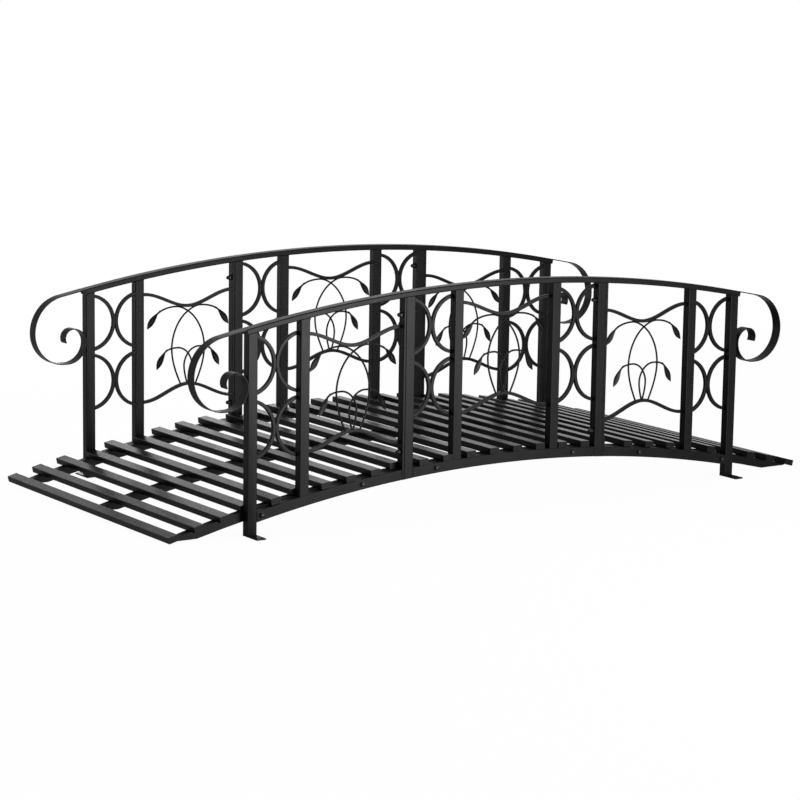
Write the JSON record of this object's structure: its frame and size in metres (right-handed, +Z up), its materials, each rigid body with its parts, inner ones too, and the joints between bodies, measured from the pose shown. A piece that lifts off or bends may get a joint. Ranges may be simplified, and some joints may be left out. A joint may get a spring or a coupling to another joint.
{
  "type": "metal garden bridge",
  "caption": "Arched metal garden bridge: spaced slats on bowed stringers between bolted railings with ring and leaf panels, a bowed top rail and scrolled ends.",
  "frame": {"origin": "on the ground, under the middle of the bridge", "axes": "+X along the walkway to the right-hand end, +Y across the walkway to the back railing, +Z up"},
  "size_m": [2.1062, 1.01, 0.6209],
  "materials": {
    "frame_coat": "black powder coat, satin, fine orange peel",
    "slat_coat": "black powder coat, satin, a little smoother on top where it is walked on"
  },
  "bodies": {
    "root": {"front_stringer": "frame_coat", "middle_stringer": "frame_coat", "back_stringer": "frame_coat", "left_ramp_slats": "slat_coat", "left_deck_slats": "slat_coat", "middle_deck_slats": "slat_coat", "right_deck_slats": "slat_coat", "right_ramp_slats": "slat_coat", "front_left_posts": "frame_coat", "front_middle_posts": "frame_coat", "front_right_posts": "frame_coat", "front_left_bottom_rail": "frame_coat", "front_middle_bottom_rail": "frame_coat", "front_right_bottom_rail": "frame_coat", "front_left_top_rail": "frame_coat", "front_middle_top_rail": "frame_coat", "front_right_top_rail": "frame_coat", "front_left_rings": "frame_coat", "front_middle_rings": "frame_coat", "front_right_rings": "frame_coat", "front_left_vine": "frame_coat", "front_middle_vine": "frame_coat", "front_right_vine": "frame_coat", "front_left_scroll": "frame_coat", "front_right_scroll": "frame_coat", "front_foot_plates": "frame_coat", "back_left_posts": "frame_coat", "back_middle_posts": "frame_coat", "back_right_posts": "frame_coat", "back_left_bottom_rail": "frame_coat", "back_middle_bottom_rail": "frame_coat", "back_right_bottom_rail": "frame_coat", "back_left_top_rail": "frame_coat", "back_middle_top_rail": "frame_coat", "back_right_top_rail": "frame_coat", "back_left_rings": "frame_coat", "back_middle_rings": "frame_coat", "back_right_rings": "frame_coat", "back_left_vine": "frame_coat", "back_middle_vine": "frame_coat", "back_right_vine": "frame_coat", "back_left_scroll": "frame_coat", "back_right_scroll": "frame_coat", "back_foot_plates": "frame_coat"}
  },
  "joints": []
}
